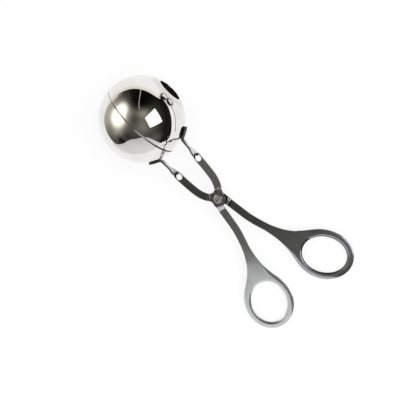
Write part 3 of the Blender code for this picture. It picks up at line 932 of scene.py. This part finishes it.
def satin_steel():
    """Tumbled sheet: grain, clouds and draw lines, and a painted bluish sheen near the pivot. It is dull and
    dirty on the face where the arms mate, with painted shade round the pivot there, and has heat tint with
    painted shade at the welds, painted shade on the necks and on the cut wall of the ring's hole, and a painted
    glint on the dimple's crest."""
    steel = Finish("satin_steel", (0.62, 0.63, 0.65), 0.17)
    cloud = steel.noise(*SHEET_CLOUDS)
    speck = steel.noise(*SHEET_SPECKS)
    line = steel.noise(*DRAW_LINES)
    edge = steel.attribute("edge")
    mating = steel.ranged(steel.facing("Z"), 0.0, 1.0, *MATING_FACE)
    from_pivot = steel.distance_to((0.0, 0.0, 0.0))
    far = steel.ranged(from_pivot, 0.0, 1.0, DIRT_AND_SHEEN_FADES, DIRT_AND_SHEEN_ENDS)
    clouds = steel.ranged(cloud, 0.0, 1.0)
    lines = steel.ranged(line, 0.0, 1.0)
    clean = steel.blended(clouds, *CLEAN_STEEL)
    # Painted reflection: the outer face is bluer and lighter near the pivot
    sheened = steel.blended(clouds, *PAINTED_SHEEN_STEEL)
    dull = steel.blended(lines, *DULL_STEEL)
    dirty = steel.blended(lines, *DIRTY_STEEL)
    outer_face = steel.blended(far, sheened, clean)
    mating_face = steel.blended(far, dirty, dull)
    body = steel.blended(mating, outer_face, mating_face)
    grained = steel.blended(steel.ranged(speck, 0.0, SPECKS_SHOW), body, GRAIN)
    handled = steel.blended(steel.times(edge, EDGES_SHOW), grained, HANDLED_EDGE)
    grease = steel.ranged(from_pivot, GREASE_SHOWS, 0.0, 0.8 * GREASE_RADIUS, GREASE_RADIUS)
    greased = steel.blended(grease, handled, GREASE)
    # Painted shade: the mating face round the pivot is darkened
    pivot_shade = steel.ranged(steel.distance_to(PIVOT_SHADE_CENTRE), 1.0, 0.0, PIVOT_SHADE_RADIUS, 1.25 * PIVOT_SHADE_RADIUS)
    pivot_shaded = steel.blended(steel.times(mating, pivot_shade), greased, PAINTED_PIVOT_SHADE)
    # Painted highlight: a bright glint on the dimple's crest
    crest = dimple_place() @ Vector((0.0, 0.0, DIMPLE_HEIGHT))
    glint = steel.ranged(steel.distance_to(crest), 1.0, 0.0, 0.8 * DIMPLE_CREST, 1.2 * DIMPLE_CREST)
    glinted = steel.blended(glint, pivot_shaded, PAINTED_DIMPLE_GLINT)
    tab_angle = TAB_STARTS_AT + TAB_LENGTH / 2 / TAB_RADIUS
    from_weld = steel.distance_to((BALL_CENTRE + TAB_RADIUS * flat(-tab_angle)).to_3d())
    # Painted shade on the neck near the weld
    neck = steel.ranged(from_weld, NECK_SHADE_SHOWS, 0.0, 1.4 * TAB_LENGTH, 2.0 * TAB_LENGTH)
    neck_shaded = steel.blended(neck, glinted, PAINTED_NECK_SHADE)
    # Heat tint and painted shade on the tab at the weld
    heat_and_shade = steel.ranged(from_weld, 1.0, 0.0, 0.5 * TAB_LENGTH, 0.9 * TAB_LENGTH)
    tinted_and_shaded = steel.blended(heat_and_shade, neck_shaded, HEAT_TINT_AND_SHADE)
    # Painted shade on the cut wall of the ring's hole and the rim beside it
    hole_wall_shade = steel.times(steel.attribute("cut"), mating)
    steel.colour(steel.blended(hole_wall_shade, tinted_and_shaded, PAINTED_HOLE_WALL_SHADE))
    rough = steel.added(steel.ranged(cloud, *SHEET_ROUGHNESS), steel.ranged(speck, *SPECK_ROUGHNESS))
    scaled = steel.added(rough, steel.times(heat_and_shade, HEAT_ROUGHNESS))
    steel.roughness(steel.added(scaled, steel.times(edge, EDGE_ROUGHNESS)))
    steel.bump((speck, SHEET_SPECK_HEIGHT), (line, DRAW_LINE_HEIGHT), (cloud, SHEET_CLOUD_HEIGHT))
    return steel.material


def mirror_steel():
    """A mirror outside, with smudges, hairlines and waviness, and rougher inside, with painted shade that
    darkens it. It is greyer round the hole and the buttons, and has painted shade in the crease round each
    button and along the rim near the arm."""
    steel = Finish("mirror_steel", (0.84, 0.825, 0.80), 0.03)
    smudge = steel.noise(*CUP_SMUDGES)
    hairline = steel.noise(*HAIRLINES)
    wave = steel.noise(*CUP_WAVES)
    from_centre = steel.distance_to((0.0, 0.0, 0.0))
    inside = steel.ranged(from_centre, 1.0, 0.0, BALL_RADIUS - CUP_WALL, BALL_RADIUS - 0.5 * CUP_WALL)
    polished = steel.blended(steel.ranged(smudge, 0.0, 1.0), *POLISHED_CUP)
    round_hole = steel.band(steel.distance_to((0.0, 0.0, BALL_RADIUS)), *GREY_ROUND_HOLE_BAND)
    colour = steel.blended(steel.times(round_hole, GREY_ROUND_HOLE_SHOWS), polished, GREY_ROUND_HOLE)
    for side in (-1, 1):
        away = steel.distance_to(button_place(side).translation)
        near = steel.ranged(away, GREY_ROUND_BUTTONS_SHOWS, 0.0, 0.6 * BUTTON_DIAMETER, 1.2 * BUTTON_DIAMETER)
        colour = steel.blended(near, colour, GREY_ROUND_BUTTONS)
        # Painted shade in the crease round the button
        crease_shade = steel.band(away, *(share * BUTTON_DIAMETER for share in BUTTON_CREASE_SHADE_BAND))
        colour = steel.blended(crease_shade, colour, PAINTED_BUTTON_CREASE_SHADE)
    # Painted shade along the rim near the arm
    at_rim = steel.ranged(steel.part(steel.place, "Z"), 1.0, 0.0, SEAM_SHADE_WIDTH, 1.4 * SEAM_SHADE_WIDTH)
    from_arm = steel.distance_to((0.0, BALL_RADIUS, 0.0))
    near_arm = steel.ranged(from_arm, 1.0, 0.0, 0.8 * SEAM_SHADE_REACH, 1.2 * SEAM_SHADE_REACH)
    colour = steel.blended(steel.times(at_rim, near_arm), colour, PAINTED_SEAM_SHADE)
    # Painted shade darkens the cup's inside
    steel.colour(steel.blended(inside, colour, CUP_INSIDE_SHADE))
    smudged = steel.ranged(smudge, *CUP_ROUGHNESS, 0.4, 0.75)
    polish = steel.added(smudged, steel.ranged(hairline, 0.0, HAIRLINE_ROUGHNESS))
    steel.roughness(steel.added(polish, steel.times(inside, INSIDE_ROUGHNESS)))
    steel.bump((hairline, HAIRLINE_HEIGHT), (wave, CUP_WAVE_HEIGHT))
    return steel.material


def turned_steel():
    """The rivet: plain steel with fine specks and clouds."""
    steel = Finish("turned_steel", (0.55, 0.55, 0.54), 0.36)
    speck = steel.noise(*RIVET_SPECKS)
    cloud = steel.noise(*RIVET_CLOUDS)
    steel.colour(steel.blended(steel.ranged(cloud, 0.0, 1.0), *TURNED_RIVET))
    steel.roughness(steel.ranged(speck, *RIVET_ROUGHNESS))
    steel.bump((speck, RIVET_SPECK_HEIGHT))
    return steel.material


# The pieces


def laid_down(pivot):
    """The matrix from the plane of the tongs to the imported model's frame."""
    axis = -Vector(pivot["axis"])
    return Matrix.Translation(pivot["pos_m"]) @ Matrix.Rotation(atan2(axis.x, axis.z), 4, "Y")


def piece(name, mesh, matrix, material, body, node):
    """One shown piece, which stands for the CAD node."""
    mesh = mesh.copy()
    mesh.name = name
    mesh.materials.clear()
    mesh.materials.append(material)
    made = object_from(name, mesh)
    made.matrix_world = matrix
    shading = made.modifiers.new("even shading", "WEIGHTED_NORMAL")
    shading.keep_sharp = True
    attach(made, body)
    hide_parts(node)


def make_tongs(laid):
    satin, mirror, turned_finish = satin_steel(), mirror_steel(), turned_steel()
    arm_mesh = stamping("arm_shape")
    mark_edges(arm_mesh)
    cup_mesh = cup_shape()
    half_turn = Matrix.Rotation(pi, 4, "X")
    pole_to_side = Matrix.Rotation(pi / 2, 4, "X") @ Matrix.Rotation(-pi / 2, 4, "Z")
    to_ball = Matrix.Translation(BALL_CENTRE.to_3d())
    for half, turn in (("bottom", Matrix.Identity(4)), ("top", half_turn)):
        body = f"{half}_half"
        piece(f"{half}_stamping", arm_mesh, laid @ turn, satin, body, f"{half}_arm")
        cup_place = laid @ turn @ to_ball @ pole_to_side
        piece(f"{half}_cup", cup_mesh, cup_place, mirror, body, f"{half}_arm_cup")
    piece("rivet", rivet_shape(), laid, turned_finish, "bottom_half", "pivot_rivet")


# The table, the room and the lights


def glowing(name, colour=(0.0, 0.0, 0.0), strength=1.0, attribute=None):
    """A surface that gives off a plain colour, or the colour of a mesh attribute."""
    material = bpy.data.materials.new(name)
    material.use_nodes = True
    nodes, links = material.node_tree.nodes, material.node_tree.links
    nodes.clear()
    glow = nodes.new("ShaderNodeEmission")
    glow.inputs["Color"].default_value = (*colour, 1.0)
    glow.inputs["Strength"].default_value = strength
    if attribute:
        source = nodes.new("ShaderNodeAttribute")
        source.attribute_name = attribute
        links.new(source.outputs["Color"], glow.inputs["Color"])
    links.new(glow.outputs["Emission"], nodes.new("ShaderNodeOutputMaterial").inputs["Surface"])
    material.cycles.emission_sampling = "NONE"
    return material


def reflections_only(thing):
    thing.visible_camera = False
    thing.visible_diffuse = False
    thing.visible_shadow = False
    thing.visible_transmission = False
    thing.visible_volume_scatter = False


def towards(azimuth, elevation):
    """The unit vector of a direction in degrees."""
    level = flat(radians(azimuth)) * cos(radians(elevation))
    return Vector((level.x, level.y, sin(radians(elevation))))


def card(name, points, faces, **look):
    """A glowing card of the given points and faces that only reflections show."""
    mesh = bpy.data.meshes.new(name)
    mesh.from_pydata(points, [], faces)
    mesh.materials.append(glowing(name, **look))
    made = object_from(name, mesh)
    reflections_only(made)
    return made


def light_stand(name, eye, path, colour):
    """A thin strip along a line of directions."""
    ways = [towards(*direction) for direction in path]
    points = []
    for i, way in enumerate(ways):
        along = ways[min(i + 1, len(ways) - 1)] - ways[max(i - 1, 0)]
        aside = radians(LIGHT_STAND_WIDTH) / 2 * way.cross(along).normalized()
        points += [eye + NEAR_DOME * (way - aside), eye + NEAR_DOME * (way + aside)]
    faces = [(2 * i, 2 * i + 1, 2 * i + 3, 2 * i + 2) for i in range(len(ways) - 1)]
    card(name, points, faces, colour=colour)


def curtain(name, eye, top, foot, distance, colours):
    """A curved wall with a level foot, whose top is a line of directions, coloured from foot to top."""
    rows = len(colours)
    points = []
    for azimuth, crest in top:
        for row in range(rows):
            points.append(eye + distance * towards(azimuth, mix(foot, crest, row / (rows - 1))))
    faces = []
    for column in range(len(top) - 1):
        for row in range(rows - 1):
            corner = column * rows + row
            faces.append((corner, corner + 1, corner + 1 + rows, corner + rows))
    made = card(name, points, faces, attribute="shade")
    layer = made.data.color_attributes.new("shade", "FLOAT_COLOR", "POINT")
    for i, value in enumerate(layer.data):
        value.color = (*colours[i % rows], 1.0)


def patch(direction, centre, width, sharpness):
    """1 in the middle of a soft round patch, falling off at about its width in degrees."""
    angle = direction.angle(towards(*centre))
    return exp(-((angle / radians(width)) ** sharpness))


def room_colour(direction):
    """What the dome shows in a direction: a dark room with soft lights, which shades dim in places."""
    colour = Vector((0.0, 0.0, 0.0))
    for centre, width, sharpness, glow in ROOM_LIGHTS:
        colour += patch(direction, centre, width, sharpness) * Vector(glow)
    for centre, width, sharpness, depth in ROOM_SHADES:
        colour *= 1 - depth * patch(direction, centre, width, sharpness)
    return colour + Vector(ROOM_DARK)


def table_end():
    """Where the white table ends, and a line on it: dark shapes lying on it that only reflections show."""
    corners = [(x * MM, y * MM, TABLE_CARD_HEIGHT) for x, y in TABLE_END]
    card("beyond_table", corners, [range(len(corners))], colour=TABLE_END_COLOUR)
    points = []
    for i, (x, y) in enumerate(TABLE_LINE):
        before, after = TABLE_LINE[max(i - 1, 0)], TABLE_LINE[min(i + 1, len(TABLE_LINE) - 1)]
        along = Vector((after[0] - before[0], after[1] - before[1])).normalized()
        aside = TABLE_LINE_WIDTH / 2 * along.orthogonal()
        for edge in (Vector((x, y)) - aside, Vector((x, y)) + aside):
            points.append((edge.x * MM, edge.y * MM, TABLE_CARD_HEIGHT))
    faces = [(2 * i, 2 * i + 1, 2 * i + 3, 2 * i + 2) for i in range(len(TABLE_LINE) - 1)]
    card("table_line", points, faces, colour=TABLE_LINE_COLOUR)


def dome(eye):
    """The room: a half sphere round the eye, coloured at its vertices."""
    bm = bmesh.new()
    bmesh.ops.create_uvsphere(bm, u_segments=DOME_SEGMENTS, v_segments=DOME_SEGMENTS // 2, radius=DOME_RADIUS)
    below = [v for v in bm.verts if v.co.z < DOME_FOOT]
    bmesh.ops.delete(bm, geom=below, context="VERTS")
    mesh = mesh_from("room_dome", bm)
    layer = mesh.color_attributes.new("room", "FLOAT_COLOR", "POINT")
    for vertex, value in zip(mesh.vertices, layer.data):
        value.color = (*room_colour(vertex.co.normalized()), 1.0)
    mesh.materials.append(glowing("room", attribute="room"))
    made = object_from("room_dome", mesh)
    made.location = eye
    reflections_only(made)


def table():
    """A wide white table. To the camera and to reflections it is nearly as bright as white itself."""
    bm = bmesh.new()
    bmesh.ops.create_circle(bm, cap_ends=True, segments=TABLE_SEGMENTS, radius=2 * DOME_RADIUS)
    mesh = mesh_from("table", bm)
    material = bpy.data.materials.new("white_table")
    material.use_nodes = True
    tree = material.node_tree
    nodes, links = tree.nodes, tree.links
    nodes.clear()
    paper = nodes.new("ShaderNodeBsdfDiffuse")
    paper.inputs["Color"].default_value = (*TABLE_COLOUR, 1.0)
    white = nodes.new("ShaderNodeEmission")
    path = nodes.new("ShaderNodeLightPath")
    seen = math_node(tree, "MAXIMUM", path.outputs["Is Camera Ray"], path.outputs["Is Glossy Ray"])
    clear = math_node(tree, "MAXIMUM", seen, path.outputs["Is Transmission Ray"])
    blend = nodes.new("ShaderNodeMixShader")
    links.new(math_node(tree, "MULTIPLY", clear, TABLE_WHITE_SHARE), blend.inputs["Fac"])
    links.new(paper.outputs["BSDF"], blend.inputs[1])
    links.new(white.outputs["Emission"], blend.inputs[2])
    links.new(blend.outputs["Shader"], nodes.new("ShaderNodeOutputMaterial").inputs["Surface"])
    material.cycles.emission_sampling = "NONE"
    mesh.materials.append(material)
    made = object_from("table", mesh)
    made.location.z = TABLE_HEIGHT


def world():
    """White to the camera and in reflections, softer as a light."""
    made = bpy.data.worlds.new("studio")
    made.use_nodes = True
    nodes, links = made.node_tree.nodes, made.node_tree.links
    background = nodes["Background"]
    background.inputs["Color"].default_value = (1.0, 1.0, 1.0, 1.0)
    path = nodes.new("ShaderNodeLightPath")
    light = nodes.new("ShaderNodeMapRange")
    light.inputs["To Min"].default_value = 1.0
    light.inputs["To Max"].default_value = WORLD_LIGHT
    links.new(path.outputs["Is Diffuse Ray"], light.inputs["Value"])
    links.new(light.outputs["Result"], background.inputs["Strength"])
    bpy.context.scene.world = made


def lamp():
    """A soft square lamp that points at the tongs and lights the table."""
    data = bpy.data.lights.new("key", "AREA")
    data.size = LAMP_SIZE
    data.energy = LAMP_POWER
    made = object_from("key", data)
    made.location = LAMP_PLACE
    made.rotation_euler = (-Vector(LAMP_PLACE)).to_track_quat("-Z", "Y").to_euler()
    made.visible_glossy = False


def room(laid):
    eye = laid @ BALL_CENTRE.to_3d()
    dome(eye)
    corners = [eye + NEAR_DOME * towards(*corner) for corner in WINDOW]
    card("window", corners, [range(len(corners))], colour=(1.0, 1.0, 1.0), strength=WINDOW_STRENGTH)
    for number, (path, colour) in enumerate(LIGHT_STANDS):
        light_stand(f"light_stand_{number}", eye, path, colour)
    curtain("white_wall", eye, WALL_TOP, WALL_FOOT, WALL_DISTANCE, WALL_COLOURS)
    curtain("low_rim", eye, RIM_TOP, RIM_FOOT, NEAR_DOME, RIM_COLOURS)
    table_end()
    table()
    world()
    lamp()


def camera(laid):
    data = bpy.data.cameras.new("camera")
    data.lens = data.sensor_width * CAMERA_FOCAL / IMAGE_WIDTH
    data.clip_start = CAMERA_CLIP
    made = object_from("camera", data)
    turn = Matrix.Rotation(CAMERA_TURN.length, 4, CAMERA_TURN.normalized())
    made.matrix_world = laid @ Matrix.Translation(CAMERA_PLACE) @ turn.transposed()
    bpy.context.scene.camera = made


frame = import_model()
bpy.context.scene.view_settings.view_transform = "Standard"
laid = laid_down(frame["joints"][0])
camera(laid)
make_tongs(laid)
room(laid)
